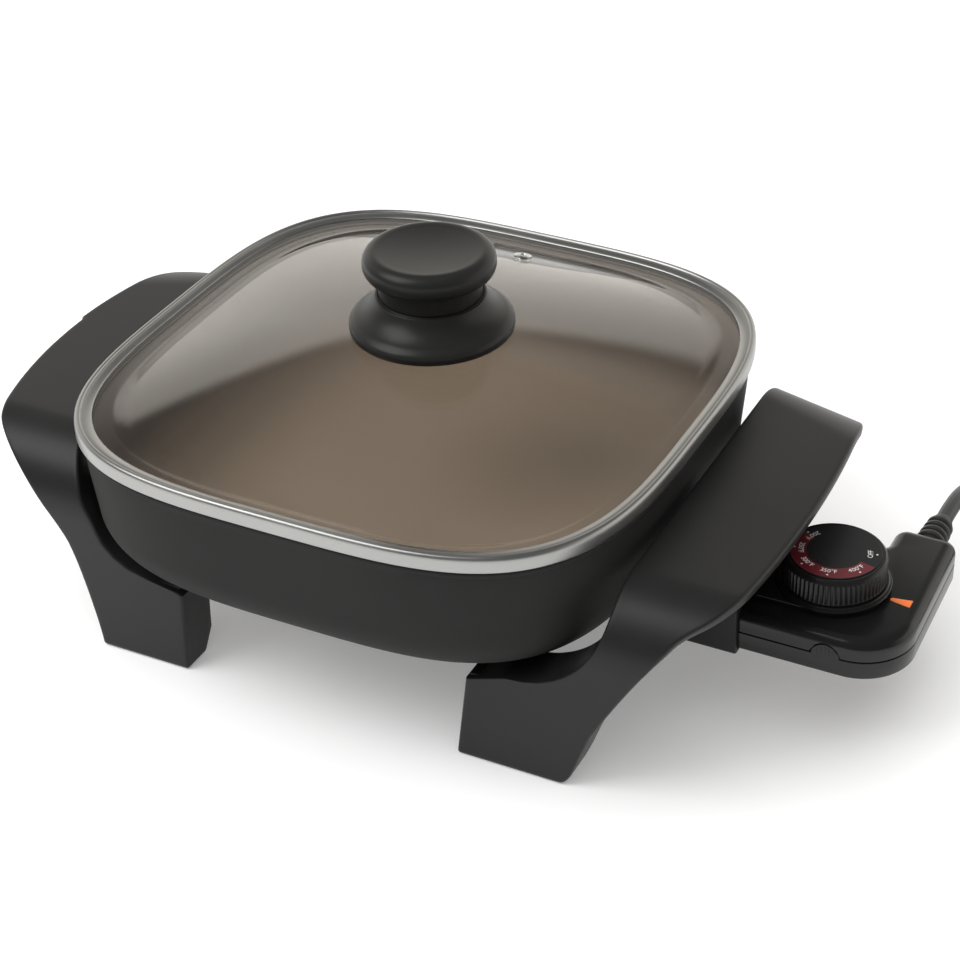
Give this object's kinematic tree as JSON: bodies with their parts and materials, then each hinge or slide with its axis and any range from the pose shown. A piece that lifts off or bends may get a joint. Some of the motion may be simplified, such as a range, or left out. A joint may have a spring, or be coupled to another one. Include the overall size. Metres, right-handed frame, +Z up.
{
  "type": "electric skillet",
  "caption": "Small square electric skillet on moulded handles with legs, with a lift-off domed glass lid and a plug-in probe thermostat on a coiled lead.",
  "frame": {"origin": "on the table under the middle of the pan, in the plane of the four feet", "axes": "+X towards the thermostat, +Y to the back, +Z up"},
  "size_m": [0.4367, 0.3194, 0.1433],
  "materials": {
    "pan_coating": "satin non-stick coating",
    "handle_plastic": "fine satin",
    "rim_steel": "brushed",
    "lid_glass": "clear tempered",
    "knob_plastic": "satin",
    "screw_steel": "zinc plated",
    "heater_steel": "dull oxidised",
    "pin_steel": "nickel plated",
    "silicone": "matte",
    "shell_plastic": "semi-gloss",
    "dial_plastic": "semi-gloss",
    "dial_print": "printed",
    "pointer_orange": "gloss",
    "contact_brass": "plain",
    "steatite": "matte ceramic",
    "cord_pvc": "satin",
    "plug_pvc": "satin"
  },
  "bodies": {
    "pan": {"pan_body": "pan_coating", "heating_element": "heater_steel", "terminal_pins": "pin_steel", "probe_socket": "heater_steel", "probe_guard": "handle_plastic", "guard_screws": "screw_steel", "handle_left": "handle_plastic", "handle_right": "handle_plastic", "handle_screws": "screw_steel"},
    "lid": {"lid_rim": "rim_steel", "lid_glass": "lid_glass", "vent_eyelet": "pin_steel", "knob_base": "knob_plastic", "knob_cap": "knob_plastic", "knob_screw": "screw_steel", "knob_washer": "silicone"},
    "thermostat": {"control_top": "shell_plastic", "control_bottom": "shell_plastic", "control_screws": "screw_steel", "dial_collar": "shell_plastic", "pointer_lens": "pointer_orange", "pilot_lamp": "pointer_orange", "probe_tube": "pin_steel", "contact_sockets": "contact_brass", "switch_block": "steatite", "strain_relief": "cord_pvc", "cord": "cord_pvc", "cord_coil": "cord_pvc", "coil_tie": "cord_pvc", "cord_tail": "cord_pvc", "plug_body": "plug_pvc", "plug_blades": "contact_brass"},
    "dial": {"dial_knob": "dial_plastic", "dial_plate": "dial_print", "adjust_shaft": "pin_steel"}
  },
  "joints": [
    {"name": "lid_lift", "type": "slide", "parent": "pan", "child": "lid", "axis": [0, 0, 1], "range_m": [0, 0.15]},
    {"name": "thermostat_pull", "type": "slide", "parent": "pan", "child": "thermostat", "axis": [1, 0, 0], "range_m": [0, 0.09]},
    {"name": "dial_turn", "type": "hinge", "parent": "thermostat", "child": "dial", "pos_m": [0.1588, 0, 0.05], "axis": [0, 0, -1], "range_deg": [0, 300]}
  ]
}
